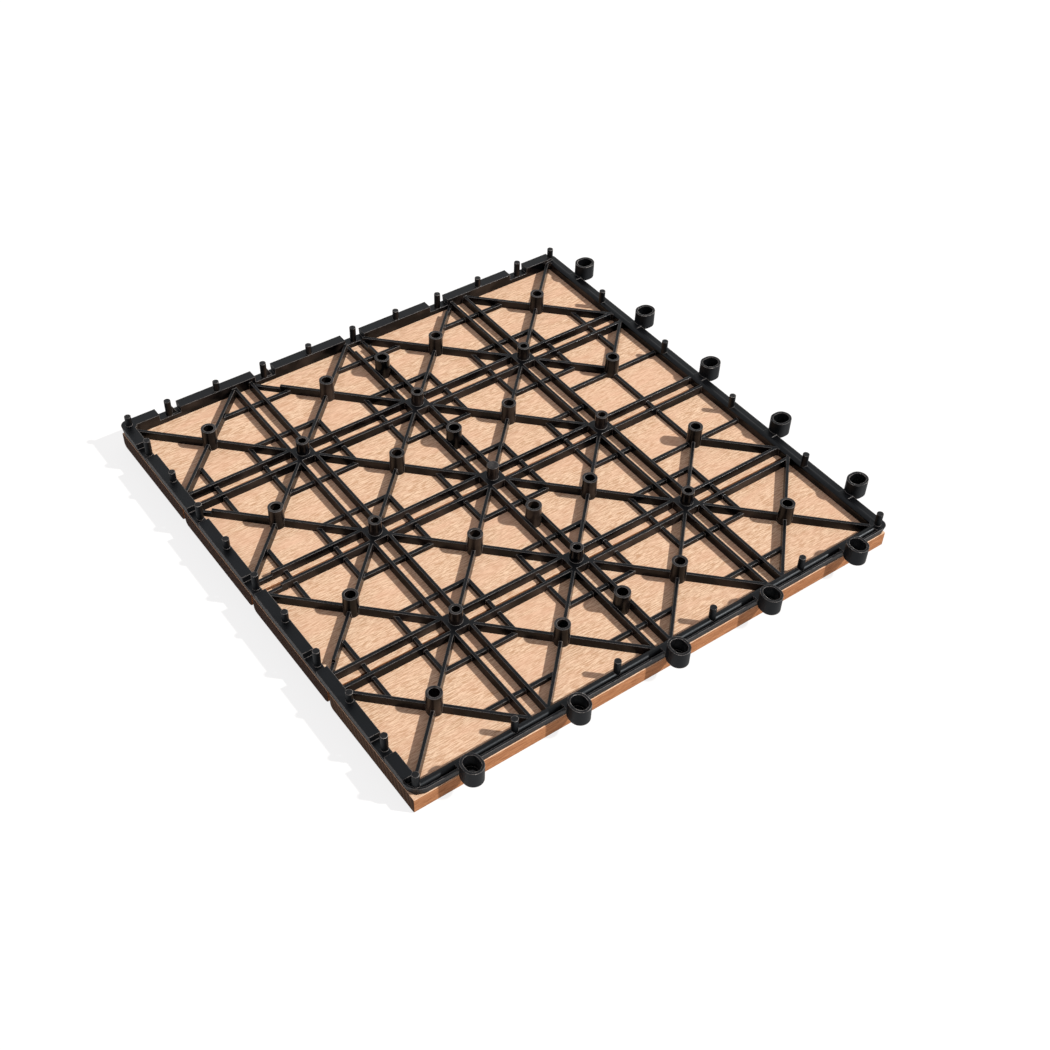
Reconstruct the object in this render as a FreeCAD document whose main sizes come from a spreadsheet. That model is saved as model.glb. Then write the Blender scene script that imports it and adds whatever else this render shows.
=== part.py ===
import FreeCAD, Part
import math
import os
import Sketcher

# Interlocking deck tile, lying deck face down, plastic grid up.
# Frame: millimetres, +Z up, origin on the deck face that it lies on, under the middle of the
# whole part.
# The two male sides, with pins standing in notches, face +Y and -X.
# The two female sides, with loops, face -Y and +X.

# Driving dimensions. Each one is written here once and read everywhere through the sheet.
DIMENSIONS = {
    # layout of the cells and boards
    "cell_pitch": 75.0,
    "grid_shift": 1.5,
    "board_thickness": 9.5,
    "board_gap": 1.6,
    "board_rounding": 3.2,
    "board_edge_rounding": 0.8,
    # ribs of the grid, each narrower at its crest than at its foot
    "rib_height": 4.7,
    "rib_foot": 2.6,
    "rib_crest": 1.7,
    "rib_pair_spacing": 9.9,
    "thin_rib_height": 2.4,
    "thin_rib_foot": 2.5,
    "thin_rib_crest": 2.0,
    "thin_rib_offset": 15.6,
    "edge_thin_rib_offset": 14.0,
    # lowered ends of the ribs, which a neighbour's loops pass over
    "low_rib_height": 2.6,
    "low_spoke_reach": 15.0,
    "long_low_reach": 22.5,
    "low_pair_reach": 11.0,
    # feet that carry the tile in use
    "foot_height": 13.0,
    "centre_foot_diameter": 8.4,
    "node_foot_diameter": 7.2,
    "channel_foot_diameter": 8.8,
    "middle_foot_diameter": 6.6,
    "foot_wall": 1.4,
    "hub_diameter": 10.6,
    "rim_peg_diameter": 3.7,
    # rim
    "rim_inset": 5.7,
    "rim_corner_rounding": 8.0,
    "rim_floor_height": 2.0,
    "wall_thickness": 1.2,
    "wall_foot_inset": 0.5,
    "wall_overhang": 0.7,
    "edge_wall_height": 5.3,
    "tab_height": 7.0,
    "bead_width": 4.3,
    "bead_height": 5.5,
    # joining pins, notches and loops
    "joint_gap": 2.1,
    "link_pitch": 60.6,
    "link_shift": 1.1,
    "link_inset": 3.7,
    "pin_diameter": 3.8,
    "notch_width": 13.0,
    "notch_floor": 3.1,
    "loop_width": 10.6,
    "loop_length": 12.4,
    "loop_wall": 1.45,
    "loop_floor": 1.6,
    "loop_seat_gap": 0.1,
    "pin_clearance": 0.45,
    "neck_width": 7.0,
    "gusset_reach": 4.4,
    "gusset_height": 7.5,
    "gusset_thickness": 1.4,
    # screws
    "screw_seat": 1.6,
    "screw_head_diameter": 5.0,
    "screw_head_height": 1.8,
    "screw_shank_diameter": 2.8,
    "screw_length": 9.0,
    "screw_tip_length": 2.0,
    "screw_point_diameter": 0.5,
    "screw_hole_clearance": 0.2,
    "cross_width": 0.8,
    "cross_length": 2.8,
    "cross_depth": 1.0,
}

CELLS = 4
SIDE_TURNS_MALE = (0, 90)
SIDE_TURNS_FEMALE = (180, 270)
LINK_STEPS = (-2, -1, 0, 1, 2)
PEG_STEPS = (-1.5, -0.5, 0.5, 1.5)
GUSSET_STEPS = (-2, -1)
BOUNDARY_STEPS = (-1, 0, 1)
SPOKE_TURNS = (45, 135, 225, 315)
# The side whose bead and edge wall are one solid rail
SOLID_RAIL_TURN = 270
# Two heights that differ by less than this are the same height.
EDGE_TOLERANCE = 0.01

# The rows of pins and loops lie off the middle of their sides, towards the corner of the male
# sides: this way along each side, where a side's own direction is its turn from +X.
LINK_SHIFT_SIGN = {0: "-", 90: "+", 180: "+", 270: "-"}

# Cells are (column, row), counted from -X and from +Y. Two of them leave out the spokes that
# would run to the middle of the +X side, and have single straight ribs in their place.
OPEN_CELLS = {(3, 1): (225, 315), (3, 2): (45, 135)}
# These spokes end low at the rim, under the loops of a neighbouring tile.
LOW_SPOKES = {(1, 0): 135, (2, 0): 45, (0, 1): 135, (0, 2): 225}
# These run to the middle pin of a male side, and stop where its notch begins.
SHORT_SPOKES = {(1, 0): 45, (2, 0): 135, (0, 1): 225, (0, 2): 135}

doc = FreeCAD.newDocument("deck_tile")
sheet = doc.addObject("Spreadsheet::Sheet", "dims")


def fill_sheet():
    for row, (name, value) in enumerate(DIMENSIONS.items(), start=1):
        sheet.set(f"A{row}", name)
        sheet.set(f"B{row}", str(value))
        sheet.setAlias(f"B{row}", name)
    doc.recompute()


# Lengths that follow from the driving ones
TILE = f"dims.cell_pitch * {CELLS}"
HALF = f"dims.cell_pitch * {CELLS / 2}"
BOARD_WIDTH = f"({TILE} - dims.board_gap * {CELLS - 1}) / {CELLS}"
BOARD_TOP = "dims.board_thickness"
LINK_LINE = f"{HALF} - dims.link_inset"
LOOP_LINE = f"{HALF} + dims.joint_gap + dims.link_inset"
LOOP_STRETCH = "(dims.loop_length - dims.loop_width) / 2"
LOOP_BOTTOM = "dims.board_thickness + dims.notch_floor + dims.loop_seat_gap"
RIM_INNER = f"{HALF} - dims.rim_inset"
RIM_CORNER = f"{HALF} - dims.rim_corner_rounding"
WALL_FOOT = f"{HALF} - dims.wall_foot_inset"
WALL_CREST = f"{HALF} + dims.wall_overhang"
FULL_SPOKE = "dims.cell_pitch / sqrt(2) - dims.rib_foot"
# The loops reach further out than the walls of the other two sides, so the middle of the whole
# part lies this far from the middle of the tile, along +X and along -Y.
MIDDLE_SHIFT = f"({LOOP_LINE} + dims.loop_length / 2 - ({WALL_CREST})) / 2"


def bind(obj, sizes):
    for name, formula in sizes.items():
        obj.setExpression(name, str(formula))
    return obj


def place(obj, x="0", y="0", z="0", rotation=None):
    """Puts an object at a place that is counted from the middle of the tile."""
    if rotation is not None:
        obj.Placement = FreeCAD.Placement(FreeCAD.Vector(0, 0, 0), rotation)
    bind(obj, {"Placement.Base.x": f"{x} - {MIDDLE_SHIFT}"})
    bind(obj, {"Placement.Base.y": f"{y} + {MIDDLE_SHIFT}"})
    return bind(obj, {"Placement.Base.z": z})


def turned(angle):
    return FreeCAD.Rotation(FreeCAD.Vector(0, 0, 1), angle)


def cylinder(name, diameter, height, x, y, z):
    post = doc.addObject("Part::Cylinder", name)
    bind(post, {"Radius": f"({diameter}) / 2", "Height": height})
    return place(post, x, y, z)


def block(name, length, width, height, x, y, z, angle=0):
    box = doc.addObject("Part::Box", name)
    bind(box, {"Length": length, "Width": width, "Height": height})
    return place(box, x, y, z, turned(angle))


def bar(name, start, end, foot, crest, height, x, y, z, angle):
    """A straight rib along its own X from start to end. Foot and crest are (inner, outer)
    edges across it, at its bottom and at its top."""
    rib = doc.addObject("Part::Wedge", name)
    bind(rib, {"Xmin": start, "X2min": start, "Xmax": end, "X2max": end})
    bind(rib, {"Ymin": "0", "Ymax": height})
    bind(rib, {"Zmin": f"-({foot[1]})", "Zmax": f"-({foot[0]})"})
    bind(rib, {"Z2min": f"-({crest[1]})", "Z2max": f"-({crest[0]})"})
    stand = FreeCAD.Rotation(FreeCAD.Vector(1, 0, 0), 90)
    return place(rib, x, y, z, turned(angle) * stand)


def centred(width):
    return (f"-({width}) / 2", f"({width}) / 2")


def rib(name, start, end, x, y, angle, height="dims.rib_height"):
    foot = centred("dims.rib_foot")
    crest = centred("dims.rib_crest")
    return bar(name, start, end, foot, crest, height, x, y, BOARD_TOP, angle)


def thin_rib(name, start, end, x, y, angle):
    foot = centred("dims.thin_rib_foot")
    crest = centred("dims.thin_rib_crest")
    return bar(name, start, end, foot, crest, "dims.thin_rib_height", x, y, BOARD_TOP, angle)


def fuse(name, pieces):
    joined = doc.addObject("Part::MultiFuse", name)
    joined.Shapes = pieces
    return joined


def group(name, pieces):
    together = doc.addObject("Part::Compound", name)
    together.Links = pieces
    return together


def cut(name, base, tool):
    result = doc.addObject("Part::Cut", name)
    result.Base = base
    result.Tool = tool
    return result


def grid_x(steps):
    """X of a line that lies so many cell pitches from the middle of the grid."""
    return f"{steps} * dims.cell_pitch - dims.grid_shift"


def grid_y(steps):
    return f"{steps} * dims.cell_pitch"


def cell_steps(index):
    """Where a cell's middle lies, in cell pitches from the middle of the grid."""
    return index - (CELLS - 1) / 2


def on_side(turn, along, outward):
    """X and Y of a point on one side of the tile, from its place along that side and its
    distance from the middle of the tile."""
    if turn == 0:
        return f"({along})", f"({outward})"
    if turn == 90:
        return f"-({outward})", f"({along})"
    if turn == 180:
        return f"-({along})", f"-({outward})"
    return f"({outward})", f"-({along})"


def link_along(turn, step):
    """Where a pin or loop lies along its side."""
    return f"{step} * dims.link_pitch {LINK_SHIFT_SIGN[turn]} dims.link_shift"


def side_bar(name, start, end, foot, crest, height, z, turn):
    """A bar along one side. Its edges are distances from the middle of the tile."""
    return bar(name, start, end, foot, crest, height, "0", "0", z, turn)


def rounded_prism(name, inset, height, z):
    """A square plate with rounded corners, its edges set in from the edges of the tile."""
    body = doc.addObject("PartDesign::Body", name)
    sketch = body.newObject("Sketcher::SketchObject", name + "_outline")
    plane = [f for f in body.Origin.OriginFeatures if f.Role == "XY_Plane"][0]
    sketch.AttachmentSupport = [(plane, "")]
    sketch.MapMode = "FlatFace"
    corners = [(-1, -1), (1, -1), (1, 1), (-1, 1)]
    reach = 100.0
    for (ax, ay), (bx, by) in zip(corners, corners[1:] + corners[:1]):
        start = FreeCAD.Vector(ax * reach, ay * reach, 0)
        end = FreeCAD.Vector(bx * reach, by * reach, 0)
        sketch.addGeometry(Part.LineSegment(start, end))
    for edge in range(4):
        sketch.addConstraint(Sketcher.Constraint("Coincident", edge, 2, (edge + 1) % 4, 1))
    for edge, kind in enumerate(("Horizontal", "Vertical", "Horizontal", "Vertical")):
        sketch.addConstraint(Sketcher.Constraint(kind, edge))
    sketch.addConstraint(Sketcher.Constraint("Symmetric", 0, 1, 2, 1, -1, 1))
    width = sketch.addConstraint(Sketcher.Constraint("DistanceX", 0, 1, 0, 2, 2 * reach))
    depth = sketch.addConstraint(Sketcher.Constraint("DistanceY", 1, 1, 1, 2, 2 * reach))
    sketch.setExpression(f"Constraints[{width}]", f"{TILE} - 2 * ({inset})")
    sketch.setExpression(f"Constraints[{depth}]", f"{TILE} - 2 * ({inset})")
    plate = body.newObject("PartDesign::Pad", name + "_pad")
    plate.Profile = sketch
    bind(plate, {"Length": height})
    doc.recompute()
    wide = body.newObject("PartDesign::Fillet", name + "_corners")
    wide.Base = (plate, upright_edges(plate.Shape, between_loops=False))
    bind(wide, {"Radius": f"dims.rim_corner_rounding - ({inset})"})
    doc.recompute()
    tight = body.newObject("PartDesign::Fillet", name + "_loop_corner")
    tight.Base = (wide, upright_edges(wide.Shape, between_loops=True))
    bind(tight, {"Radius": f"dims.link_inset - ({inset})"})
    place(body, z=z)
    return body


def upright_edges(shape, between_loops):
    """Names of the upright edges of a plate, either the one at the corner between the two
    female sides or those at its other corners."""
    names = []
    for index, edge in enumerate(shape.Edges, start=1):
        low, high = edge.Vertexes[0].Point, edge.Vertexes[-1].Point
        at_loop_corner = low.x > 0 and low.y < 0
        if abs(high.z - low.z) > EDGE_TOLERANCE and at_loop_corner == between_loops:
            names.append(f"Edge{index}")
    return names


def make_rim_floor():
    """The flat ring round the tile that lies on the boards."""
    outer = rounded_prism("rim_outline", "dims.wall_foot_inset", "dims.rim_floor_height",
                          BOARD_TOP)
    opening = block(
        "rim_opening", f"2 * ({RIM_INNER})", f"2 * ({RIM_INNER})", "dims.rim_floor_height",
        f"-({RIM_INNER})", f"-({RIM_INNER})", BOARD_TOP,
    )
    return cut("rim_floor", outer, opening)


def make_edge_wall(turn):
    """The wall at the edge of a female side, leaning outward. On the -Y side it is thin, with a
    groove behind it, and on the +X side it is one solid rail with the bead."""
    foot = (f"{WALL_FOOT} - dims.wall_thickness", WALL_FOOT)
    crest = (f"{WALL_CREST} - dims.wall_thickness", WALL_CREST)
    end = RIM_CORNER
    if turn == SOLID_RAIL_TURN:
        foot, crest = (LINK_LINE, WALL_FOOT), (LINK_LINE, WALL_CREST)
        end = LINK_LINE
    return side_bar(f"edge_wall_{turn}", f"-({LINK_LINE})", end, foot, crest,
                    "dims.edge_wall_height", BOARD_TOP, turn)


def make_corner_wall(turn):
    """The thin wall round the corner where the -Y side meets the -X side."""
    x, y = on_side(turn, f"-({RIM_CORNER})", RIM_CORNER)
    quarter = doc.addObject("Part::Cone", f"corner_outside_{turn}")
    bind(quarter, {"Radius1": "dims.rim_corner_rounding - dims.wall_foot_inset"})
    bind(quarter, {"Radius2": "dims.rim_corner_rounding + dims.wall_overhang"})
    bind(quarter, {"Height": "dims.edge_wall_height", "Angle": "90"})
    place(quarter, x, y, BOARD_TOP, turned(turn + 90))
    inside = doc.addObject("Part::Cone", f"corner_inside_{turn}")
    bind(inside, {"Radius1": "dims.rim_corner_rounding - dims.wall_foot_inset"
                             " - dims.wall_thickness"})
    bind(inside, {"Radius2": "dims.rim_corner_rounding + dims.wall_overhang"
                             " - dims.wall_thickness"})
    bind(inside, {"Height": "dims.edge_wall_height"})
    place(inside, x, y, BOARD_TOP)
    return cut(f"corner_wall_{turn}", quarter, inside)


def make_corner_boss(turn, height):
    """The round end of the walls about a corner peg, leaning outward as they do."""
    x, y = on_side(turn, f"-({LINK_LINE})", LINK_LINE)
    boss = doc.addObject("Part::Cone", f"corner_boss_{turn}")
    bind(boss, {"Radius1": "dims.link_inset - dims.wall_foot_inset"})
    bind(boss, {"Radius2": "dims.link_inset + dims.wall_overhang", "Height": height})
    return place(boss, x, y, BOARD_TOP)


def make_bead(turn):
    """The rounded rib that stands on a female side, under its pegs."""
    half = "dims.bead_width / 2"
    sides = (f"{LINK_LINE} - {half}", f"{LINK_LINE} + {half}")
    wall = side_bar(f"bead_wall_{turn}", f"-({LINK_LINE})", LINK_LINE, sides, sides,
                    f"dims.bead_height - {half}", BOARD_TOP, turn)
    crown = doc.addObject("Part::Cylinder", f"bead_crown_{turn}")
    bind(crown, {"Radius": half, "Height": f"2 * ({LINK_LINE})"})
    x, y = on_side(turn, f"-({LINK_LINE})", LINK_LINE)
    lying = FreeCAD.Rotation(FreeCAD.Vector(0, 1, 0), 90)
    place(crown, x, y, f"{BOARD_TOP} + dims.bead_height - {half}", turned(turn) * lying)
    return [wall, crown]


def make_tabs(turn):
    """The wall along a male side, leaning outward, with a notch at each joining pin."""
    start = f"-({LINK_LINE})" if turn == 0 else f"-({RIM_CORNER})"
    wall = side_bar(f"tab_wall_{turn}", start, LINK_LINE, (RIM_INNER, WALL_FOOT),
                    (RIM_INNER, WALL_CREST), "dims.tab_height", BOARD_TOP, turn)
    notches = []
    for count, step in enumerate(LINK_STEPS):
        along = f"{link_along(turn, step)} - dims.notch_width / 2"
        x, y = on_side(turn, along, RIM_INNER)
        notch = block(
            f"notch_{turn}_{count}", "dims.notch_width", "2 * dims.rim_inset",
            "dims.tab_height", x, y, f"{BOARD_TOP} + dims.notch_floor", turn,
        )
        notches.append(notch)
    return cut(f"tabs_{turn}", wall, group(f"notches_{turn}", notches))


def make_pins(turn):
    """The joining pins of a male side."""
    pins = []
    for count, step in enumerate(LINK_STEPS):
        x, y = on_side(turn, link_along(turn, step), LINK_LINE)
        pins.append(cylinder(f"pin_{turn}_{count}", "dims.pin_diameter", "dims.foot_height",
                             x, y, BOARD_TOP))
    return pins


def make_gussets():
    """The fins that stiffen the two pins of the +Y side nearest to -X."""
    gussets = []
    for step in GUSSET_STEPS:
        x, y = on_side(0, link_along(0, step), LINK_LINE)
        gusset = doc.addObject("Part::Wedge", f"gusset_{-step}")
        bind(gusset, {"Xmin": "0", "X2min": "0", "X2max": "dims.pin_diameter / 4"})
        bind(gusset, {"Xmax": "dims.pin_diameter / 2 + dims.gusset_reach"})
        bind(gusset, {"Ymin": "0", "Ymax": "dims.notch_floor + dims.gusset_height"})
        for low, high in (("Zmin", "Zmax"), ("Z2min", "Z2max")):
            bind(gusset, {low: "-dims.gusset_thickness / 2", high: "dims.gusset_thickness / 2"})
        standing = FreeCAD.Rotation(FreeCAD.Vector(1, 0, 0), 90)
        gussets.append(place(gusset, x, y, BOARD_TOP, standing))
    return gussets


def oblong(name, width, height, turn, along, z):
    """An upright post of oblong section, longer outward, on the line of the loops."""
    inner = f"{LOOP_LINE} - {LOOP_STRETCH}"
    outer = f"{LOOP_LINE} + {LOOP_STRETCH}"
    start = f"{along} - ({width}) / 2"
    end = f"{along} + ({width}) / 2"
    pieces = [side_bar(f"{name}_middle", start, end, (inner, outer), (inner, outer),
                       height, z, turn)]
    for label, line in (("inner", inner), ("outer", outer)):
        x, y = on_side(turn, along, line)
        pieces.append(cylinder(f"{name}_{label}", width, height, x, y, z))
    return pieces


def make_loops(turn):
    """The joining loops of a female side, each on a neck that runs over the rim."""
    pieces = []
    height = "dims.foot_height - dims.notch_floor - dims.loop_seat_gap"
    for count, step in enumerate(LINK_STEPS):
        along = link_along(turn, step)
        pieces += oblong(f"loop_{turn}_{count}", "dims.loop_width", height, turn, along,
                         LOOP_BOTTOM)
        start = f"{along} - dims.neck_width / 2"
        end = f"{along} + dims.neck_width / 2"
        sides = (LINK_LINE, LOOP_LINE)
        pieces.append(side_bar(f"neck_{turn}_{count}", start, end, sides, sides,
                               "dims.bead_height - dims.notch_floor - dims.loop_seat_gap",
                               LOOP_BOTTOM, turn))
    return pieces


def make_loop_bores():
    """The hollow of each loop, and the hole in its floor that a neighbour's pin goes through."""
    bores = []
    width = "dims.loop_width - 2 * dims.loop_wall"
    for turn in SIDE_TURNS_FEMALE:
        for count, step in enumerate(LINK_STEPS):
            along = link_along(turn, step)
            bores += oblong(f"loop_bore_{turn}_{count}", width, "dims.foot_height", turn, along,
                            f"{LOOP_BOTTOM} + dims.loop_floor")
            x, y = on_side(turn, along, LOOP_LINE)
            bores.append(cylinder(f"loop_hole_{turn}_{count}",
                                  "dims.pin_diameter + 2 * dims.pin_clearance",
                                  "dims.foot_height", x, y, BOARD_TOP))
    return bores


def make_rim_pegs():
    pegs = []
    for turn in SIDE_TURNS_MALE + SIDE_TURNS_FEMALE:
        for count, step in enumerate(PEG_STEPS):
            x, y = on_side(turn, link_along(turn, step), LINK_LINE)
            pegs.append(cylinder(f"peg_{turn}_{count}", "dims.rim_peg_diameter",
                                 "dims.foot_height", x, y, BOARD_TOP))
        x, y = on_side(turn, f"-({LINK_LINE})", LINK_LINE)
        pegs.append(cylinder(f"corner_peg_{turn}", "dims.rim_peg_diameter", "dims.foot_height",
                             x, y, BOARD_TOP))
    return pegs


def make_pair_ribs():
    """Two parallel ribs along every boundary between cells, from rim to rim."""
    ribs = []
    for step in BOUNDARY_STEPS:
        for label, sign in (("a", -1), ("b", 1)):
            offset = f" + {sign} * dims.rib_pair_spacing / 2"
            name = f"{step + 1}{label}"
            start, end = f"-({LINK_LINE})", LINK_LINE
            if step == 0:
                start = f"{start} + dims.low_pair_reach"
                end = f"{end} - dims.low_pair_reach"
                ribs.append(rib(f"rib_x_{name}_low", f"-({LINK_LINE})", start, "0",
                                grid_y(step) + offset, 0, "dims.low_rib_height"))
                ribs.append(rib(f"rib_y_{name}_low", end, LINK_LINE, grid_x(step) + offset,
                                "0", 90, "dims.low_rib_height"))
            ribs.append(rib(f"rib_x_{name}", start, LINK_LINE, "0", grid_y(step) + offset, 0))
            ribs.append(rib(f"rib_y_{name}", f"-({LINK_LINE})", end, grid_x(step) + offset,
                            "0", 90))
    return ribs


def spoke_length(column, row, turn):
    """From the middle of a cell to its corner, or to the line of the pegs where the spoke ends
    in the rim, or to the edge of the rim where it stops at a notch."""
    last = CELLS - 1
    if SHORT_SPOKES.get((column, row)) == turn:
        shift = " - dims.grid_shift" if column == 0 else ""
        return f"(dims.cell_pitch / 2 - dims.rim_inset{shift}) * sqrt(2)"
    if column == 0 and turn in (135, 225):
        return "(dims.cell_pitch / 2 - dims.link_inset - dims.grid_shift) * sqrt(2)"
    if (row == 0 and turn in (45, 135)) or (row == last and turn in (225, 315)):
        return "(dims.cell_pitch / 2 - dims.link_inset) * sqrt(2)"
    if column == last and turn in (45, 315):
        return "(dims.cell_pitch / 2 - dims.link_inset + dims.grid_shift) * sqrt(2)"
    return FULL_SPOKE


def make_spokes():
    """Four diagonal ribs from each cell's middle to its corners, where the cell has them."""
    spokes = []
    for column in range(CELLS):
        for row in range(CELLS):
            x = grid_x(cell_steps(column))
            y = grid_y(-cell_steps(row))
            for turn in SPOKE_TURNS:
                if turn in OPEN_CELLS.get((column, row), ()):
                    continue
                name = f"spoke_{column}{row}_{turn}"
                end = spoke_length(column, row, turn)
                if LOW_SPOKES.get((column, row)) == turn:
                    reach = "long_low_reach" if (column, row) == (1, 0) else "low_spoke_reach"
                    spokes.append(rib(name + "_low", "0", end, x, y, turn,
                                      "dims.low_rib_height"))
                    end = f"{FULL_SPOKE} - dims.{reach}"
                spokes.append(rib(name, "0", end, x, y, turn))
    return spokes


def make_thin_ribs():
    """Short thin ribs in pairs across each boundary between two cells."""
    ribs = []
    half = "(dims.cell_pitch / 2 - dims.thin_rib_offset)"
    for line in range(CELLS):
        middle = cell_steps(line)
        for label, sign in (("a", -1), ("b", 1)):
            offset = f" + {sign} * dims.thin_rib_offset"
            edge_offset = f" + {sign} * dims.edge_thin_rib_offset"
            for step in BOUNDARY_STEPS:
                end = half
                if step == 1 and toward_opening(line, sign):
                    end = "dims.rib_pair_spacing / 2"
                ribs.append(thin_rib(f"thin_x_{line}_{label}_{step + 1}", f"-{half}", end,
                                     grid_x(step), grid_y(-middle) + offset, 0))
                if not crosses(line, sign, step):
                    continue
                across = edge_offset if line == 0 and sign < 0 else offset
                ribs.append(thin_rib(f"thin_y_{line}_{label}_{step + 1}", f"-{half}", half,
                                     grid_x(middle) + across, grid_y(step), 90))
    return ribs


def crosses(column, sign, step):
    """Whether the grid has the thin rib along Y at that side of a column, on a boundary. The
    last column has none between its open cells, and one fewer beside the rim."""
    if column < CELLS - 1:
        return True
    return step == 1 or (step == -1 and sign < 0)


def toward_opening(row, sign):
    """Whether a thin rib on that side of a row of cells would run into the open cells."""
    return (row == 1 and sign < 0) or (row == 2 and sign > 0)


def make_open_cell_ribs():
    """The single straight ribs that take the place of the spokes of the open cells."""
    column = CELLS - 1
    x = grid_x(cell_steps(column))
    half = "dims.cell_pitch / 2"
    start = f"-({half} - dims.rib_pair_spacing / 2)"
    ribs = [thin_rib("open_rib_y", f"-{half}", half, x, "0", 90)]
    for column, row in OPEN_CELLS:
        y = grid_y(-cell_steps(row))
        ribs.append(thin_rib(f"open_rib_x_{row}", start, half, x, y, 0))
    return ribs


def foot_places():
    """Every foot inside the rim: its kind, a label, and its place in cell pitches."""
    places = []
    for column in range(CELLS):
        for row in range(CELLS):
            label = f"centre_{column}{row}"
            places.append(("centre", label, cell_steps(column), -cell_steps(row)))
        places.append(("channel", f"channel_{column}", 0, cell_steps(column)))
    for nx in BOUNDARY_STEPS:
        for ny in BOUNDARY_STEPS:
            kind = "middle" if nx == 0 and ny == 0 else "node"
            places.append((kind, f"node_{nx + 1}{ny + 1}", nx, ny))
    return places


def make_feet():
    pieces = []
    for kind, label, nx, ny in foot_places():
        x, y = grid_x(nx), grid_y(ny)
        pieces.append(cylinder(f"foot_{label}", f"dims.{kind}_foot_diameter",
                               "dims.foot_height", x, y, BOARD_TOP))
        if kind in ("middle", "node"):
            pieces.append(cylinder(f"hub_{label}", "dims.hub_diameter", "dims.rib_height",
                                   x, y, BOARD_TOP))
    return pieces


def make_foot_bores():
    """The hollow of each foot, down to the seat of its screw, and the screw's hole below it.
    The foot in the very middle is solid."""
    bores = []
    for kind, label, nx, ny in foot_places():
        if kind == "middle":
            continue
        x, y = grid_x(nx), grid_y(ny)
        bores.append(cylinder(f"bore_{label}", f"dims.{kind}_foot_diameter - 2 * dims.foot_wall",
                              "dims.foot_height - dims.screw_seat", x, y,
                              f"{BOARD_TOP} + dims.screw_seat"))
        if kind == "centre":
            bores.append(cylinder(f"screw_hole_{label}",
                                  "dims.screw_shank_diameter + 2 * dims.screw_hole_clearance",
                                  "dims.foot_height", x, y, BOARD_TOP))
    return bores


def make_base_grid():
    solids = [make_rim_floor()]
    for turn in SIDE_TURNS_MALE:
        solids.append(make_tabs(turn))
        solids += make_pins(turn)
    solids += make_gussets()
    for turn in SIDE_TURNS_FEMALE:
        solids.append(make_edge_wall(turn))
        solids += make_bead(turn)
        solids += make_loops(turn)
    solids.append(make_corner_wall(90))
    solids.append(make_corner_boss(0, "dims.tab_height"))
    for turn in SIDE_TURNS_FEMALE:
        solids.append(make_corner_boss(turn, "dims.edge_wall_height"))
    solids += make_rim_pegs()
    solids += make_pair_ribs()
    solids += make_spokes()
    solids += make_thin_ribs()
    solids += make_open_cell_ribs()
    solids += make_feet()
    whole = fuse("grid_solids", solids)
    hollows = group("grid_hollows", make_foot_bores() + make_loop_bores())
    base = cut("base_grid", whole, hollows)
    base.Label = "base_grid"
    return base


def board_steps(number):
    return number - (CELLS - 1) / 2


def make_board(number):
    """One board along X. Its section has rounded edges on the deck face, and it has a blind
    hole for each of its screws."""
    name = f"deck_board_{number + 1}"
    centre_y = f"{board_steps(number)} * ({BOARD_WIDTH} + dims.board_gap)"
    body = doc.addObject("PartDesign::Body", name)
    plane = {f.Role: f for f in body.Origin.OriginFeatures}
    section = body.newObject("Sketcher::SketchObject", name + "_section")
    section.AttachmentSupport = [(plane["YZ_Plane"], "")]
    section.MapMode = "FlatFace"
    edge = "dims.board_edge_rounding" if number == 0 else "dims.board_rounding"
    draw_board_section(section, edge)
    plank = body.newObject("PartDesign::Pad", name + "_plank")
    plank.Profile = section
    plank.Midplane = True
    bind(plank, {"Length": TILE})
    holes = body.newObject("Sketcher::SketchObject", name + "_holes")
    holes.AttachmentSupport = [(plane["XY_Plane"], "")]
    holes.MapMode = "FlatFace"
    holes.setExpression("AttachmentOffset.Base.z", BOARD_TOP)
    circle = Part.Circle(FreeCAD.Vector(1, 1, 0), FreeCAD.Vector(0, 0, 1), 1)
    holes.addGeometry(circle)
    # The sketch is drawn about the first screw's own place, so its circle sits at its origin.
    holes.addConstraint(Sketcher.Constraint("Coincident", 0, 3, -1, 1))
    bore = holes.addConstraint(Sketcher.Constraint("Diameter", 0, 2))
    holes.setExpression(f"Constraints[{bore}]", "dims.screw_shank_diameter")
    holes.setExpression("AttachmentOffset.Base.x", grid_x(cell_steps(0)))
    holes.setExpression("AttachmentOffset.Base.y",
                        f"{grid_y(board_steps(number))} - ({centre_y})")
    doc.recompute()
    pocket = body.newObject("PartDesign::Pocket", name + "_screw_hole")
    pocket.Profile = holes
    bind(pocket, {"Length": "dims.screw_length - dims.screw_seat"})
    doc.recompute()
    row = body.newObject("PartDesign::LinearPattern", name + "_screw_holes")
    row.Originals = [pocket]
    row.Direction = (holes, ["H_Axis"])
    row.Occurrences = CELLS
    bind(row, {"Length": f"dims.cell_pitch * {CELLS - 1}"})
    body.Tip = row
    place(body, y=centre_y)
    body.Label = name
    return body


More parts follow.
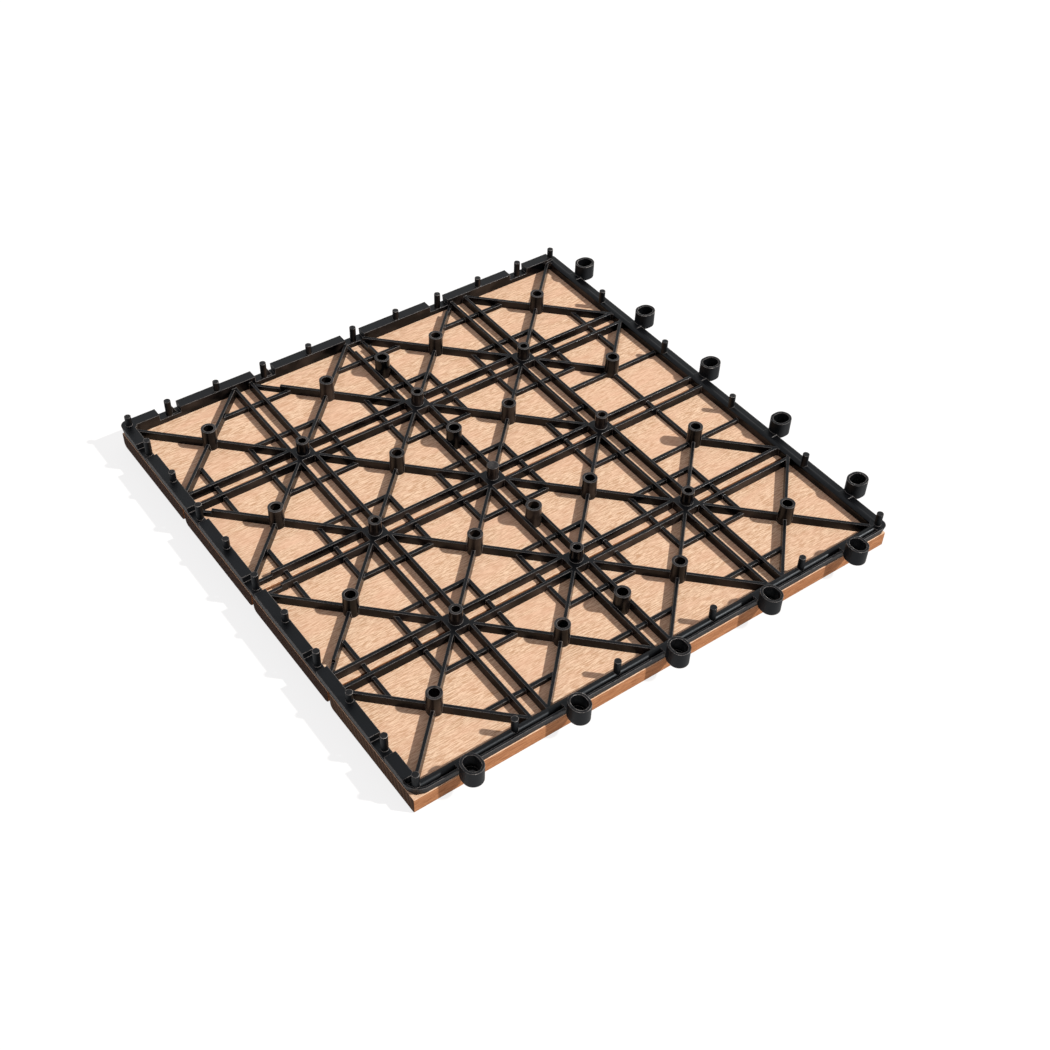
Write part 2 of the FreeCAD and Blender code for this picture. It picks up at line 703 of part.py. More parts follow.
def draw_board_section(sketch, edge_rounding):
    """Across the board: flat on top, rounded at both lower edges. The edge that faces -Y has
    a rounding of its own."""
    half, top, bend = 30.0, 9.0, 3.0
    corner = [(-half, top), (half, top), (half, bend), (half - bend, 0.0),
              (-half + bend, 0.0), (-half, bend)]
    points = [FreeCAD.Vector(px, py, 0) for px, py in corner]
    toward_left, downward, toward_right = math.pi, 1.5 * math.pi, 2 * math.pi
    right = Part.Circle(FreeCAD.Vector(half - bend, bend, 0), FreeCAD.Vector(0, 0, 1), bend)
    left = Part.Circle(FreeCAD.Vector(bend - half, bend, 0), FreeCAD.Vector(0, 0, 1), bend)
    sketch.addGeometry(Part.LineSegment(points[0], points[1]))
    sketch.addGeometry(Part.LineSegment(points[1], points[2]))
    sketch.addGeometry(Part.ArcOfCircle(right, downward, toward_right))
    sketch.addGeometry(Part.LineSegment(points[3], points[4]))
    sketch.addGeometry(Part.ArcOfCircle(left, toward_left, downward))
    sketch.addGeometry(Part.LineSegment(points[5], points[0]))
    rule = Sketcher.Constraint
    sketch.addConstraint(rule("Coincident", 0, 2, 1, 1))
    sketch.addConstraint(rule("Tangent", 1, 2, 2, 2))
    sketch.addConstraint(rule("Tangent", 2, 1, 3, 1))
    sketch.addConstraint(rule("Tangent", 3, 2, 4, 2))
    sketch.addConstraint(rule("Tangent", 4, 1, 5, 1))
    sketch.addConstraint(rule("Coincident", 5, 2, 0, 1))
    sketch.addConstraint(rule("Vertical", 1))
    sketch.addConstraint(rule("Horizontal", 3))
    sketch.addConstraint(rule("Vertical", 5))
    sketch.addConstraint(rule("Symmetric", 0, 1, 0, 2, -2))
    sketch.addConstraint(rule("PointOnObject", 3, 1, -1))
    width = sketch.addConstraint(rule("DistanceX", 0, 1, 0, 2, 2 * half))
    height = sketch.addConstraint(rule("DistanceY", -1, 1, 0, 1, top))
    radius = sketch.addConstraint(rule("Radius", 2, bend))
    edge_radius = sketch.addConstraint(rule("Radius", 4, bend))
    sketch.setExpression(f"Constraints[{width}]", BOARD_WIDTH)
    sketch.setExpression(f"Constraints[{height}]", BOARD_TOP)
    sketch.setExpression(f"Constraints[{radius}]", "dims.board_rounding")
    sketch.setExpression(f"Constraints[{edge_radius}]", edge_rounding)


def make_screw(column, row):
    """A screw with a cylindrical head, a cross recess, a shank and a pointed tip."""
    label = f"{column}{row}"
    x, y = grid_x(cell_steps(column)), grid_y(-cell_steps(row))
    seat = f"{BOARD_TOP} + dims.screw_seat"
    tip_top = f"{seat} - dims.screw_length + dims.screw_tip_length"
    head = cylinder(f"head_{label}", "dims.screw_head_diameter", "dims.screw_head_height",
                    x, y, seat)
    shank = cylinder(f"shank_{label}", "dims.screw_shank_diameter",
                     "dims.screw_length - dims.screw_tip_length", x, y, tip_top)
    tip = doc.addObject("Part::Cone", f"tip_{label}")
    bind(tip, {"Radius1": "dims.screw_point_diameter / 2"})
    bind(tip, {"Radius2": "dims.screw_shank_diameter / 2", "Height": "dims.screw_tip_length"})
    place(tip, x, y, f"{seat} - dims.screw_length")
    recess_z = f"{seat} + dims.screw_head_height - dims.cross_depth"
    slots = [
        block(f"slot_{label}_x", "dims.cross_length", "dims.cross_width", "dims.cross_depth",
              f"{x} - dims.cross_length / 2", f"{y} - dims.cross_width / 2", recess_z),
        block(f"slot_{label}_y", "dims.cross_width", "dims.cross_length", "dims.cross_depth",
              f"{x} - dims.cross_width / 2", f"{y} - dims.cross_length / 2", recess_z),
    ]
    blank = fuse(f"screw_blank_{label}", [head, shank, tip])
    return cut(f"screw_{label}", blank, fuse(f"recess_{label}", slots))


def make_screws():
    screws = [make_screw(column, row) for column in range(CELLS) for row in range(CELLS)]
    together = group("board_screws", screws)
    together.Label = "board_screws"
    return together


def check_and_export(parts):
    doc.recompute()
    for obj in doc.Objects:
        broken = [state for state in obj.State if state in ("Invalid", "Error")]
        if broken:
            raise RuntimeError(f"{obj.Name} is {broken}")
    os.makedirs("parts", exist_ok=True)
    for part in parts:
        shape = part.Shape
        if shape.isNull() or not shape.isValid():
            raise RuntimeError(f"{part.Label} has no valid shape")
        shape.exportStep(f"parts/{part.Label}.step")
        box = shape.BoundBox
        print(f"{part.Label}: {len(shape.Solids)} solid(s), {shape.Volume:.0f} mm3,",
              f"X {box.XMin:.2f}..{box.XMax:.2f}, Y {box.YMin:.2f}..{box.YMax:.2f},",
              f"Z {box.ZMin:.2f}..{box.ZMax:.2f}")


fill_sheet()
nodes = [make_base_grid()]
nodes += [make_board(number) for number in range(CELLS)]
nodes.append(make_screws())
check_and_export(nodes)
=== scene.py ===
# %% [markdown]
# An interlocking deck tile, lying on its deck face.
# The real tile is one black moulded grid, screwed to four wooden boards from below. Its solids
# come ready made. They could be modelled once more as meshes, but two models of one tile soon
# differ, so the solids are loaded and keep their shapes. That leaves light and surfaces: how
# dull black plastic can still read as a shape, and how raw and oiled wood differ on one board.

import bmesh
import bpy
from mathutils import Matrix, Vector


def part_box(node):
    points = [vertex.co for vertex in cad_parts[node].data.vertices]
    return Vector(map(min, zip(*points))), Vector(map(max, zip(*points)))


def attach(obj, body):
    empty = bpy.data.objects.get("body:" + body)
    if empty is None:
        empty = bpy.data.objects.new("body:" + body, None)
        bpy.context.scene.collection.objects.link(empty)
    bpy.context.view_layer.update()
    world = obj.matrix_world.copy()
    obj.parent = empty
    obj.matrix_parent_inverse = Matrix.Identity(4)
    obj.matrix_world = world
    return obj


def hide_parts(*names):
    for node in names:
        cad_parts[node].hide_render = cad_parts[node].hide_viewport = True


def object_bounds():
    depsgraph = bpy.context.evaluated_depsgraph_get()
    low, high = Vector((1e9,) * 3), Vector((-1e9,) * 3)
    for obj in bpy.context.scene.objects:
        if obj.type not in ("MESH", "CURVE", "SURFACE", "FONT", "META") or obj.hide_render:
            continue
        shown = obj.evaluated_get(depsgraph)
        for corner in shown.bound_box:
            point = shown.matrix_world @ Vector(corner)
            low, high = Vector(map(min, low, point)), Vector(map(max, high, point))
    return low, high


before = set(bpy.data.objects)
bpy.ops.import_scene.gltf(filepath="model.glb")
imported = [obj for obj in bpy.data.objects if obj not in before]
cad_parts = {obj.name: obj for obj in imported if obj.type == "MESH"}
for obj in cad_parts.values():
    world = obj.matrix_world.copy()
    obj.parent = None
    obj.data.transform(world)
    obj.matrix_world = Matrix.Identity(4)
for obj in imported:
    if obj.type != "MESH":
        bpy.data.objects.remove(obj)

cad_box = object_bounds()

MM_PER_METRE = 1000.0
tile_size = cad_box[1] - cad_box[0]
print("tile, in mm:", [round(MM_PER_METRE * side, 1) for side in tile_size])
print("pieces:", sorted(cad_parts))

# %% [markdown]
# The camera comes first, because every later choice is judged through it. It looks down at
# about 45 degrees from near the corner between the board ends and the oiled edge. A camera can
# be aimed with a constraint, but a match with a picture needs its roll as well. So its axes
# were found by matching the corners, pins and loops of the tile with the picture, and they are
# written as three directions and a place.

# %% Camera
SENSOR_MM = 36.0
LENS_MM = 50.51
NEAREST_SEEN = 0.01

to_the_right = Vector((0.8087, -0.5875, 0.0291)).normalized()
roughly_up = Vector((0.3983, 0.5834, 0.7078))
backward = to_the_right.cross(roughly_up).normalized()
upward = backward.cross(to_the_right)
camera_place = Vector((-0.35113, -0.47075, 0.56286))

camera_data = bpy.data.cameras.new("tile_camera")
camera_data.sensor_width = SENSOR_MM
camera_data.lens = LENS_MM
camera_data.clip_start = NEAREST_SEEN
camera = bpy.data.objects.new("tile_camera", camera_data)
camera.matrix_world = Matrix.Translation(camera_place) @ Matrix(
    (to_the_right, upward, backward)).transposed().to_4x4()
bpy.context.scene.collection.objects.link(camera)
bpy.context.scene.camera = camera
print("camera", [round(value, 3) for value in camera_place], "lens", LENS_MM, "mm")

# %% [markdown]
# The picture has clear shadows that the feet and ribs throw across the boards, all in one
# direction. A point or area lamp could throw them, but it would light the near corner more than
# the far one. A sun lamp has the same strength everywhere, and its angle of two degrees makes a
# shadow soften as it falls further from what throws it. It stands about 40 degrees above the
# floor, on the side of the loops.

# %% Sun
SUN_STRENGTH = 3.35
SUN_ANGLE = 0.035
SUN_COLOUR = (1.0, 0.965, 0.92)

towards_the_sun = Vector((0.54, -0.52, 0.66))
sun_data = bpy.data.lights.new("low_sun", "SUN")
sun_data.energy = SUN_STRENGTH
sun_data.angle = SUN_ANGLE
sun_data.color = SUN_COLOUR
sun = bpy.data.objects.new("low_sun", sun_data)
sun.rotation_euler = towards_the_sun.to_track_quat("Z", "Y").to_euler()
bpy.context.scene.collection.objects.link(sun)
print("sun strength", SUN_STRENGTH, "from", [round(value, 2) for value in towards_the_sun])

# %% [markdown]
# The sky, the floor and the materials are node trees, and most of their nodes are made the same
# way: pick a kind, set some choices, then give each input either a number or the output of
# another node. By hand that is one link at a time. In a script one small helper can do it, so
# that every later cell reads like a recipe.

# %% Helpers for node trees
def give(tree, socket, value):
    if isinstance(value, bpy.types.NodeSocket):
        tree.links.new(value, socket)
    else:
        socket.default_value = value


def add(tree, kind, inputs, **choices):
    made = tree.nodes.new("ShaderNode" + kind)
    for name, choice in choices.items():
        setattr(made, name, choice)
    for key, value in inputs.items():
        give(tree, made.inputs[key], value)
    return made


def new_material(name):
    material = bpy.data.materials.new(name)
    material.use_nodes = True
    material.node_tree.nodes.clear()
    return material, material.node_tree


def finish_material(tree, surface):
    add(tree, "OutputMaterial", {"Surface": surface.outputs[0]})


print("node helpers:", [helper.__name__ for helper in (give, add, new_material,
                                                       finish_material)])

# %% [markdown]
# The picture has a paper white background, yet its shadows are soft and not black. One sky
# could do both, but a sky that is bright enough for the background would wash out the shadows.
# So the sky is plain white only to the camera and in reflections, which also gives the shine of
# the black plastic something pale to mirror. To all other rays it is weak, and fills the
# shadows to about a third of full light. Sun and sky together light a level white surface to
# just about white, so a colour that is written in a material comes out as that colour.

# %% Sky
SKY_STRENGTH = 0.38
SKY_COLOUR = (1.0, 0.91, 0.93, 1)
WHITE = (1, 1, 1, 1)


def seen_or_mirrored(tree):
    ray = add(tree, "LightPath", {})
    mirrored = add(tree, "Math", {0: ray.outputs["Is Glossy Ray"],
                                  1: ray.outputs["Is Transmission Ray"]}, operation="MAXIMUM")
    either = add(tree, "Math", {0: ray.outputs["Is Camera Ray"], 1: mirrored.outputs[0]},
                 operation="MAXIMUM")
    return either.outputs[0]


sky = bpy.data.worlds.new("pale_sky")
bpy.context.scene.world = sky
sky.use_nodes = True
tree = sky.node_tree
tree.nodes.clear()
sky_fill = add(tree, "Background", {"Color": SKY_COLOUR, "Strength": SKY_STRENGTH})
sky_seen = add(tree, "Background", {"Color": WHITE, "Strength": 1.0})
sky_look = add(tree, "MixShader", {0: seen_or_mirrored(tree), 1: sky_fill.outputs[0],
                                   2: sky_seen.outputs[0]})
add(tree, "OutputWorld", {"Surface": sky_look.outputs[0]})
bpy.context.scene.view_settings.view_transform = "Standard"
print("sky strength", SKY_STRENGTH, "and white to the camera")

# %% [markdown]
# The tile lies on a plain pale sheet. More lamp light would make that sheet white, but it would
# burn out the wood as well. So to the camera and in reflections the sheet is a dim grey with a
# strong glow of its own: it reads as white paper, and the tile's shadow still shows on it. All
# other rays see a matt pale floor, which bounces an honest amount of light back at the board
# edges.

# %% Floor
FLOOR_HALF = 6.0
FLOOR_GAP = 0.0002
FLOOR_PALE = (0.82, 0.82, 0.82, 1)
FLOOR_DIM = (0.24, 0.24, 0.24, 1)
FLOOR_GLOW = 0.81

floor_mesh = bpy.data.meshes.new("floor")
floor_corners = [(-1, -1), (1, -1), (1, 1), (-1, 1)]
floor_mesh.from_pydata([(x * FLOOR_HALF, y * FLOOR_HALF, -FLOOR_GAP) for x, y in floor_corners],
                       [], [(0, 1, 2, 3)])
floor = bpy.data.objects.new("floor", floor_mesh)
bpy.context.scene.collection.objects.link(floor)

floor_material, tree = new_material("pale_floor")
matt = add(tree, "BsdfDiffuse", {"Color": FLOOR_PALE})
dim = add(tree, "BsdfDiffuse", {"Color": FLOOR_DIM})
glow = add(tree, "Emission", {"Color": WHITE, "Strength": FLOOR_GLOW})
paper = add(tree, "AddShader", {0: dim.outputs[0], 1: glow.outputs[0]})
floor_look = add(tree, "MixShader", {0: seen_or_mirrored(tree), 1: matt.outputs[0],
                                     2: paper.outputs[0]})
finish_material(tree, floor_look)
floor_mesh.materials.append(floor_material)
print("floor", 2 * FLOOR_HALF, "m wide")

# %% [markdown]
# Wood grain, the patches of painted reflection and the fine texture of plastic all have a real
# size. Pictures could be laid on for them, but noise that has been stretched needs no picture
# and never repeats. The texture coordinates of a piece are its metres in the tile's frame, so a
# stretch can be given as real lengths: a streak of the sawn wood is about 6 mm long and 0.6 mm
# wide. Dividing the coordinates by those lengths makes noise with that grain, and a different
# starting place gives each board its own.

# %% Stretched noise
def grain(tree, lengths_mm, start=(0, 0, 0), detail=3.0, roughness=0.55, distortion=0.0):
    place = add(tree, "TexCoord", {})
    stretch = [MM_PER_METRE / length for length in lengths_mm]
    scaled = add(tree, "Mapping", {"Vector": place.outputs["Object"], "Scale": stretch,
                                   "Location": start})
    noise = add(tree, "TexNoise", {"Vector": scaled.outputs[0], "Scale": 1.0, "Detail": detail,
                                   "Roughness": roughness, "Distortion": distortion})
    return noise.outputs["Fac"]


print("noise helper ready, it takes its lengths in mm")

# %% [markdown]
# Noise is a cloud of middling greys, while real streaks and patches have an edge. A colour ramp
# could sharpen it, but a ramp hides its two ends in a widget. A plain range says them in the
# text: below the first number there is no streak, above the second it is full. Such a range is
# a mask, the product of two masks is where both hold, and a mask can share out two colours or
# two numbers.

# %% Masks
def between(tree, value, none_at, full_at, to_low=0.0, to_high=1.0):
    mapped = add(tree, "MapRange", {"Value": value, "From Min": none_at, "From Max": full_at,
                                    "To Min": to_low, "To Max": to_high})
    return mapped.outputs["Result"]


def product(tree, first, second):
    return add(tree, "Math", {0: first, 1: second}, operation="MULTIPLY").outputs[0]


def shared(tree, mask, first, second):
    return add(tree, "Mix", {0: mask, 2: first, 3: second}).outputs[0]


def mixed(tree, mask, first, second):
    return add(tree, "Mix", {0: mask, 6: first, 7: second}, data_type="RGBA").outputs[2]


print("mask helpers:", [helper.__name__ for helper in (between, product, shared, mixed)])

# %% [markdown]
# A sawn board never has knife-sharp corners: planing and handling ease them, and the eased
# corner is what catches the light as a thin bright line. The solids leave the corners sharp. A
# bevel modifier could ease them, but it would ease the screw holes too. So the outer edges are
# picked: the sharp ones that have both ends on the outside of the board.

# %% Outer edges of a board
SAME_PLACE = 1e-5
SHARP_ANGLE = 0.6


def on_outside(vertex, low, high):
    x, y = vertex.co.x, vertex.co.y
    return min(abs(x - low.x), abs(x - high.x), abs(y - low.y), abs(y - high.y)) < SAME_PLACE


def outer_edges(shape, low, high):
    return [edge for edge in shape.edges
            if edge.is_manifold and edge.calc_face_angle() > SHARP_ANGLE
            and all(on_outside(vertex, low, high) for vertex in edge.verts)]


print("an edge counts as sharp above", SHARP_ANGLE, "radians")

# %% [markdown]
# Each board is shown by a copy that stands in for its solid, with the outer edges bevelled by a
# few tenths of a millimetre. Flat faces are first joined into single faces, so that the bevel
# runs clean. Flat shading would show the bevel as two facets, and plain smooth shading would
# make the wide faces look swollen. Weighted normals round the one and keep the other flat.

# %% Boards with eased edges
EDGE_EASE = 0.0004
SAME_POINT = 1e-6
FLAT_ANGLE = 0.01


def join_flat_faces(shape):
    bmesh.ops.remove_doubles(shape, verts=shape.verts, dist=SAME_POINT)
    bmesh.ops.dissolve_limit(shape, angle_limit=FLAT_ANGLE, verts=shape.verts,
                             edges=shape.edges)


def eased_board(number):
    node = f"deck_board_{number}"
    shape = bmesh.new()
    shape.from_mesh(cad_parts[node].data)
    join_flat_faces(shape)
    outside = outer_edges(shape, *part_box(node))
    bmesh.ops.bevel(shape, geom=outside, offset=EDGE_EASE, segments=2, profile=0.5,
                    affect="EDGES")
    for face in shape.faces:
        face.smooth = True
    mesh = bpy.data.meshes.new(f"eased_board_{number}")
    shape.to_mesh(mesh)
    shape.free()
    board = bpy.data.objects.new(f"eased_board_{number}", mesh)
    bpy.context.scene.collection.objects.link(board)
    flat_faces = board.modifiers.new("flat_faces", "WEIGHTED_NORMAL")
    flat_faces.keep_sharp = True
    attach(board, "root")
    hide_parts(node)
    print(board.name, "eased", len(outside), "edges,", len(mesh.polygons), "faces")
    return board


boards = [eased_board(number) for number in (1, 2, 3, 4)]

# %% [markdown]
# The boards show three skins. This one is the underside, which faces up here. It was only sawn,
# so it is pale peach wood with short fine streaks along the board. One noise would do for a far
# view, but close up it looks like a smear. So three share the work: streaks, finer threads
# between them, and broad patches that blush.

# %% Sawn skin
RAW_LIGHT = (0.99, 0.74, 0.53, 1)
RAW_DARK = (0.64, 0.385, 0.23, 1)
RAW_BLUSH = (0.86, 0.54, 0.37, 1)
STREAK_MM = (6, 0.6, 0.6)
THREAD_MM = (4, 0.4, 0.4)
BLUSH_MM = (34, 9, 9)


def sawn_skin(tree, start):
    streaks = grain(tree, STREAK_MM, start, detail=4.0, roughness=0.7)
    threads = grain(tree, THREAD_MM, start, detail=2.0, roughness=0.6)
    patches = grain(tree, BLUSH_MM, start, detail=3.0, roughness=0.5, distortion=0.4)
    colour = mixed(tree, between(tree, streaks, 0.46, 0.58), RAW_LIGHT, RAW_DARK)
    colour = mixed(tree, between(tree, threads, 0.5, 0.6, to_high=0.7), colour, RAW_DARK)
    colour = mixed(tree, between(tree, patches, 0.42, 0.7, to_high=0.6), colour, RAW_BLUSH)
    return colour, streaks


print("sawn streaks are", STREAK_MM[0], "mm long, threads", THREAD_MM[0], "mm")

# %% [markdown]
# The long edges and the deck face were planed and oiled, so they are darker and more orange,
# with fine pores and long flames. A clear coat could stand for the oil, but the oil has soaked
# in and left no film. Only the colour tells of it, and one dark colour serves pores and flames.

# %% Oiled skin
OILED_LIGHT = (0.52, 0.25, 0.122, 1)
OILED_DARK = (0.26, 0.105, 0.046, 1)
PORE_MM = (7, 0.35, 0.35)
FLAME_MM = (45, 3.5, 3.5)


def oiled_skin(tree, start):
    pores = grain(tree, PORE_MM, start, detail=4.0, roughness=0.65)
    flames = grain(tree, FLAME_MM, start, detail=3.0, roughness=0.5, distortion=0.4)
    colour = mixed(tree, between(tree, pores, 0.44, 0.62), OILED_LIGHT, OILED_DARK)
    return mixed(tree, between(tree, flames, 0.42, 0.7, to_high=0.6), colour, OILED_DARK)


print("oiled flames are", FLAME_MM[0], "mm long")

# %% [markdown]
# The cut ends soak up most oil and are darkest, and their colour is darkened further as
# painted shade. They show arcs of the yearly rings and small pores. The arcs could be cut as
# grooves, but a planed end is flat and only its colour changes. Rings round a middle far below
# the board give the arcs, and each board has that middle elsewhere. The ends of the first board
# are a little paler.

# %% Cut ends
# Both end colours are darker than end grain alone: they also paint shade on the cut ends.
END_LIGHT = (0.055, 0.025, 0.014, 1)
END_PALER = (0.15, 0.085, 0.052, 1)
END_DARK = (0.017, 0.007, 0.004, 1)
SPECK_MM = (6, 0.35, 0.35)
RING_SCALE = 95.0
RING_DEPTH = 0.045
RING_STEP = 0.031
RING_STRETCH = (0.02, 1, 1)
MIDDLE_NUMBER = 2.5
PALER_BOARD = 1


def end_skin(tree, start, number):
    place = add(tree, "TexCoord", {})
    ring_place = add(tree, "Mapping", {"Vector": place.outputs["Object"],
                                       "Location": (0, RING_STEP * (number - MIDDLE_NUMBER),
                                                    RING_DEPTH),
                                       "Scale": RING_STRETCH})
    rings = add(tree, "TexWave", {"Vector": ring_place.outputs[0], "Scale": RING_SCALE,
                                  "Distortion": 1.6, "Detail": 3.0, "Detail Scale": 1.5},
                wave_type="RINGS", rings_direction="X")
    specks = grain(tree, SPECK_MM, start, detail=3.0, roughness=0.6)
    light = END_PALER if number == PALER_BOARD else END_LIGHT
    return mixed(tree, mixed(tree, 0.5, rings.outputs["Color"], specks), light, END_DARK)


print("the rings turn round a line", round(MM_PER_METRE * RING_DEPTH), "mm below the floor")

# %% [markdown]
# Each board wears all three skins. Its faces could be sorted into three material slots, but
# then the colour would change along a hard line at every eased corner. Each skin lies on faces
# of one direction, so the direction that a face looks in picks its skin, and blends it with the
# next one over the corner. Every board gets a material with a start of its own, so that no two
# look alike.

# %% Wood on the boards
STEP_TO_NEXT_BOARD = (3.7, 11.3, 5.1)


def board_wood(name, number):
    material, tree = new_material(name)
    start = [step * number for step in STEP_TO_NEXT_BOARD]
    raw, streaks = sawn_skin(tree, start)
    facing = add(tree, "SeparateXYZ", {0: add(tree, "NewGeometry", {}).outputs["Normal"]})
    # The range puts the paler sawn skin on the eased corners, as a painted highlight along them.
    is_top = between(tree, facing.outputs["Z"], 0.3, 0.6)
    sideways = add(tree, "Math", {0: facing.outputs["X"]}, operation="ABSOLUTE")
    is_end = between(tree, sideways.outputs[0], 0.45, 0.7)
    colour = mixed(tree, is_top, oiled_skin(tree, start), raw)
    colour = mixed(tree, is_end, colour, end_skin(tree, start, number))
    rough = between(tree, streaks, 0.3, 0.7, to_low=0.62, to_high=0.82)
    relief = add(tree, "Bump", {"Strength": 0.5, "Distance": 0.0002, "Height": streaks})
    wood = add(tree, "BsdfPrincipled", {"Base Color": colour, "Roughness": rough,
                                        "Specular IOR Level": 0.05,
                                        "Normal": relief.outputs[0]})
    finish_material(tree, wood)
    return material


def dress(piece, material):
    piece.data.materials.clear()
    piece.data.materials.append(material)
    for face in piece.data.polygons:
        face.material_index = 0


for number, board in enumerate(boards, start=1):
    dress(board, board_wood(f"board_wood_{number}", number))
    print("dressed", board.name)

# %% [markdown]
# The grid is one black moulding, yet it doesn't look the same all over: its tops are satin, the
# steep walls inside the rim are polished, and the walls outside are duller. Masks could be
# painted on the mesh by hand, but the numbers of the tile already say where each place is. How
# level a face lies tells walls from tops, the distance from the edge of the boards tells inside
# from outside, and the height finds the faces that the tile stands on in use.

# %% Places on the grid
BOARD_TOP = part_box("deck_board_1")[1].z
FOOT_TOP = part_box("base_grid")[1].z
RIM_WIDTH = 0.0054
FADE = 0.0002


def within(tree, value, low, high):
    return product(tree, between(tree, value, low, low + FADE),
                   between(tree, value, high, high - FADE))


plastic_material, tree = new_material("moulded_plastic")
place = add(tree, "SeparateXYZ", {0: add(tree, "TexCoord", {}).outputs["Object"]})
height = place.outputs["Z"]
boards_low, boards_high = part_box("deck_board_1")[0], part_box("deck_board_4")[1]
inside_rim = product(
    tree,
    within(tree, place.outputs["X"], boards_low.x + RIM_WIDTH, boards_high.x - RIM_WIDTH),
    within(tree, place.outputs["Y"], boards_low.y + RIM_WIDTH, boards_high.y - RIM_WIDTH))
true_normal = add(tree, "NewGeometry", {}).outputs["Normal"]
upward_part = add(tree, "SeparateXYZ", {0: true_normal}).outputs["Z"]
levelness = add(tree, "Math", {0: upward_part}, operation="ABSOLUTE").outputs[0]
is_wall = between(tree, levelness, 0.7, 0.3)
standing_face = between(tree, height, FOOT_TOP - 2 * FADE, FOOT_TOP - FADE)
print("boards end at", round(MM_PER_METRE * BOARD_TOP, 1), "mm, feet at",
      round(MM_PER_METRE * FOOT_TOP, 1), "mm")

# %% [markdown]
# Every edge of a moulding is a little round, so that it catches a thin line of light. Cutting
# that into the mesh would take a huge number of faces, so a bevel node rounds only the shading.
# It is faded out just above the boards, where the ribs have no edge but sit flat on the wood.
# Where the rounded direction leaves the true one there is an edge, and the next cell uses that.

# %% Rounded edges
EDGE_ROUNDING = 0.0006
SEAT_HEIGHT = 0.0004

rounded = add(tree, "Bevel", {"Radius": EDGE_ROUNDING}, samples=6).outputs[0]
clear_of_boards = between(tree, height, BOARD_TOP + SEAT_HEIGHT, BOARD_TOP + 2 * SEAT_HEIGHT)
edge_normal = add(tree, "Mix", {0: clear_of_boards, 4: true_normal, 5: rounded},
                  data_type="VECTOR").outputs[1]
same_way = add(tree, "VectorMath", {0: edge_normal, 1: true_normal},
               operation="DOT_PRODUCT").outputs["Value"]
print("edges rounded by", MM_PER_METRE * EDGE_ROUNDING, "mm")

# %% [markdown]
# Handling has rubbed the edges and the ends of the feet a little paler, and that paleness also
# paints the highlight that rounded edges and rims catch. The loops and pegs round the rim have
# darker ends, but their edges carry painted glints, in short thin bright lines. A painted warm
# reflection of the lit wood lies in patches on the walls inside the rim. Scratches could be
# drawn one by one, but at this size they melt into spots, so noise breaks each kind of mark up.

# %% Wear, painted highlights and painted reflection
SCUFF_AND_GLINT_MM = (3.0, 3.0, 3.0)
REFLECTION_PATCH_MM = (21, 21, 15)
FOOT_END_WEAR_AND_HIGHLIGHT = 0.25
RIM_END_WEAR_AND_HIGHLIGHT = 0.05

# Painted highlight as well as wear: paler edges and foot ends, where rounded edges catch light.
scuffs_and_glint_breaks = grain(tree, SCUFF_AND_GLINT_MM, start=(5.0, 2.0, 1.0), detail=4.0, roughness=0.7)
edge_wear_and_highlight = product(tree, between(tree, same_way, 0.96, 0.85), between(tree, scuffs_and_glint_breaks, 0.3, 0.5))
end_wear_and_highlight = product(tree, standing_face, shared(tree, inside_rim, RIM_END_WEAR_AND_HIGHLIGHT, FOOT_END_WEAR_AND_HIGHLIGHT))
end_wear_and_highlight = product(tree, end_wear_and_highlight, between(tree, scuffs_and_glint_breaks, 0.35, 0.65))
wear_and_highlight = add(tree, "Math", {0: edge_wear_and_highlight, 1: end_wear_and_highlight}, operation="MAXIMUM").outputs[0]

# Painted glints: short bright lines on the edges of the loop and peg ends round the rim.
painted_glint_edges = product(tree, between(tree, same_way, 0.93, 0.82), between(tree, scuffs_and_glint_breaks, 0.52, 0.6))
on_rim_ends = product(tree, standing_face, between(tree, inside_rim, 1.0, 0.0))
painted_glints = product(tree, on_rim_ends, painted_glint_edges)

# Painted reflection: warm patches on the walls inside the rim stand for the lit wood they
# mirror.
reflection_patches = grain(tree, REFLECTION_PATCH_MM, start=(7.0, 3.0, 8.0), detail=2.0, roughness=0.5)
painted_wood_reflection = product(tree, product(tree, is_wall, inside_rim), between(tree, reflection_patches, 0.44, 0.66))
print("scuffs of", SCUFF_AND_GLINT_MM[0], "mm, dust patches of", REFLECTION_PATCH_MM[0], "mm")

# %% [markdown]
# Black plastic has almost no colour of its own, so its look is all in how it shines. A clear
# coat would add a second, sharper shine that this plastic doesn't have, so one layer is enough.
# A fine texture spreads the lamp into a broad soft streak along each rib, and slow noise makes
# colour and shine vary from rib to rib, as on real mouldings. Its shine is slightly blue.

# %% Moulded plastic
PLASTIC = (0.0006, 0.0006, 0.0008, 1)
PLASTIC_HAZE = (0.002, 0.0020, 0.0028, 1)
# A painted reflection of the lit wood, for the walls inside the rim.
PAINTED_WOOD_REFLECTION = (0.032, 0.023, 0.019, 1)
# Wear, and a painted highlight on edges and foot ends.
PLASTIC_WORN_AND_HIGHLIT = (0.20, 0.185, 0.178, 1)
# A painted glint for the edges of the rim's loop and peg ends.
PAINTED_GLINT = (0.62, 0.60, 0.57, 1)
SHINE_TINT = (0.84, 0.92, 1.0, 1)
OUTER_WALL_ROUGHNESS = 0.55
HAZE_MM = (14, 14, 9)
TEXTURE_MM = (0.35, 0.35, 0.35)

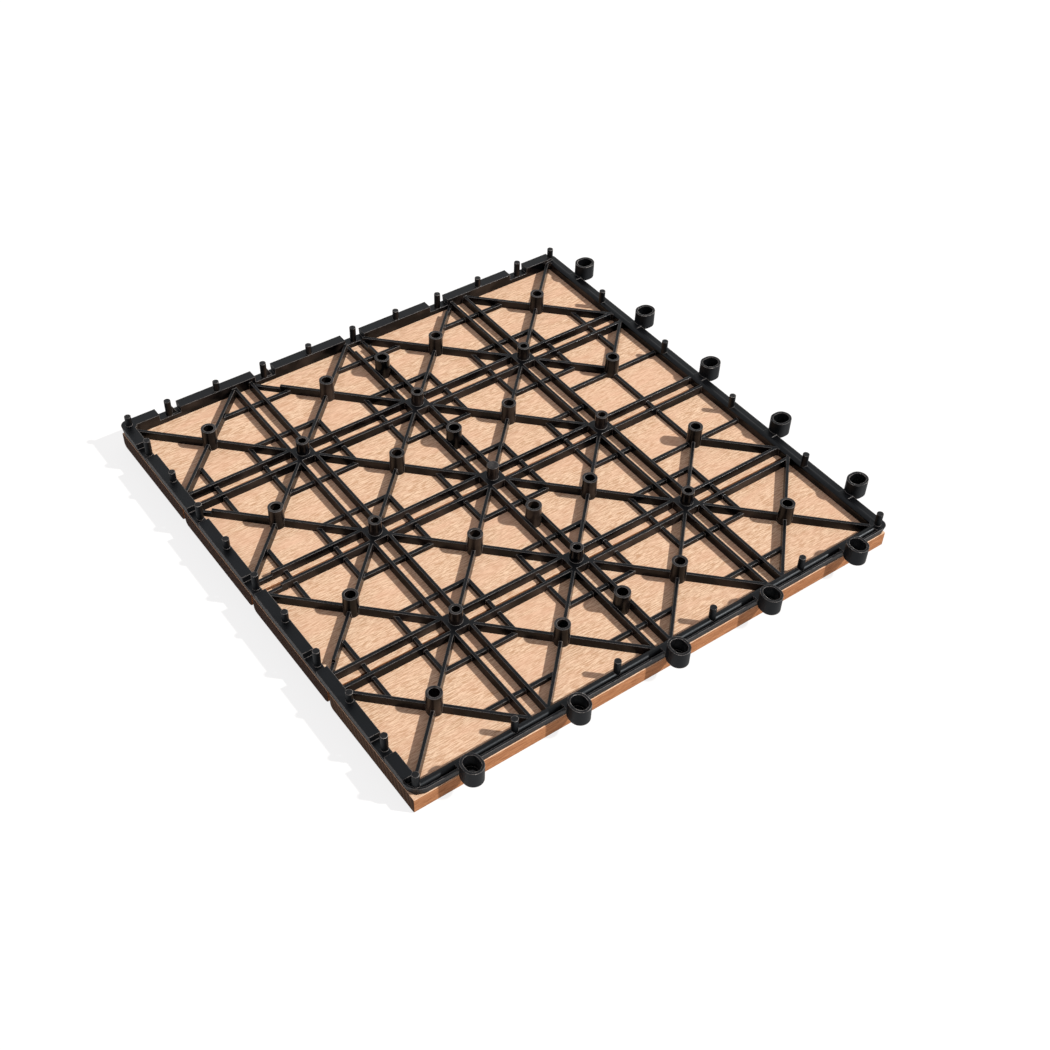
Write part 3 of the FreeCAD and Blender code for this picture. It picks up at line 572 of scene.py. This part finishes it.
haze = grain(tree, HAZE_MM, start=(2.0, 1.0, 4.0), detail=3.0)
texture = grain(tree, TEXTURE_MM, detail=2.0)
colour = mixed(tree, between(tree, haze, 0.35, 0.7), PLASTIC, PLASTIC_HAZE)
for mask, tone in ((painted_wood_reflection, PAINTED_WOOD_REFLECTION), (wear_and_highlight, PLASTIC_WORN_AND_HIGHLIT), (painted_glints, PAINTED_GLINT)):
    colour = mixed(tree, mask, colour, tone)
satin = between(tree, haze, 0.3, 0.7, to_low=0.31, to_high=0.46)
polish = between(tree, haze, 0.3, 0.7, to_low=0.15, to_high=0.27)
wall_roughness = shared(tree, inside_rim, OUTER_WALL_ROUGHNESS, polish)
relief = add(tree, "Bump", {"Strength": 0.25, "Distance": 0.00008, "Height": texture,
                            "Normal": edge_normal})
plastic = add(tree, "BsdfPrincipled", {"Base Color": colour,
                                       "Roughness": shared(tree, is_wall, satin, wall_roughness),
                                       "Specular IOR Level": 0.20,
                                       "Specular Tint": SHINE_TINT,
                                       "Normal": relief.outputs[0]})
finish_material(tree, plastic)
dress(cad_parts["base_grid"], plastic_material)
print("dressed the grid,", len(tree.nodes), "nodes in its plastic")

# %% [markdown]
# The screws sit deep in the hollow feet, so only a glint of them shows. Their steel was turned
# on a lathe, which leaves fine rings. A streaky metal shader could show those, but it would be
# lost down there, so a small quick noise in colour, roughness and relief is enough.

# %% Screw steel
STEEL_LIGHT = (0.62, 0.61, 0.58, 1)
STEEL_DARK = (0.46, 0.45, 0.43, 1)
TURNING_MM = (0.25, 0.25, 0.06)

steel_material, tree = new_material("screw_steel")
turning = grain(tree, TURNING_MM, detail=2.0)
turned_relief = add(tree, "Bump", {"Strength": 0.2, "Distance": 0.00005, "Height": turning})
turned_roughness = between(tree, turning, 0.3, 0.7, to_low=0.28, to_high=0.45)
steel = add(tree, "BsdfPrincipled", {"Base Color": mixed(tree, turning, STEEL_LIGHT, STEEL_DARK),
                                     "Metallic": 1.0, "Roughness": turned_roughness,
                                     "Normal": turned_relief.outputs[0]})
finish_material(tree, steel)
dress(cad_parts["board_screws"], steel_material)
print("dressed the screws")
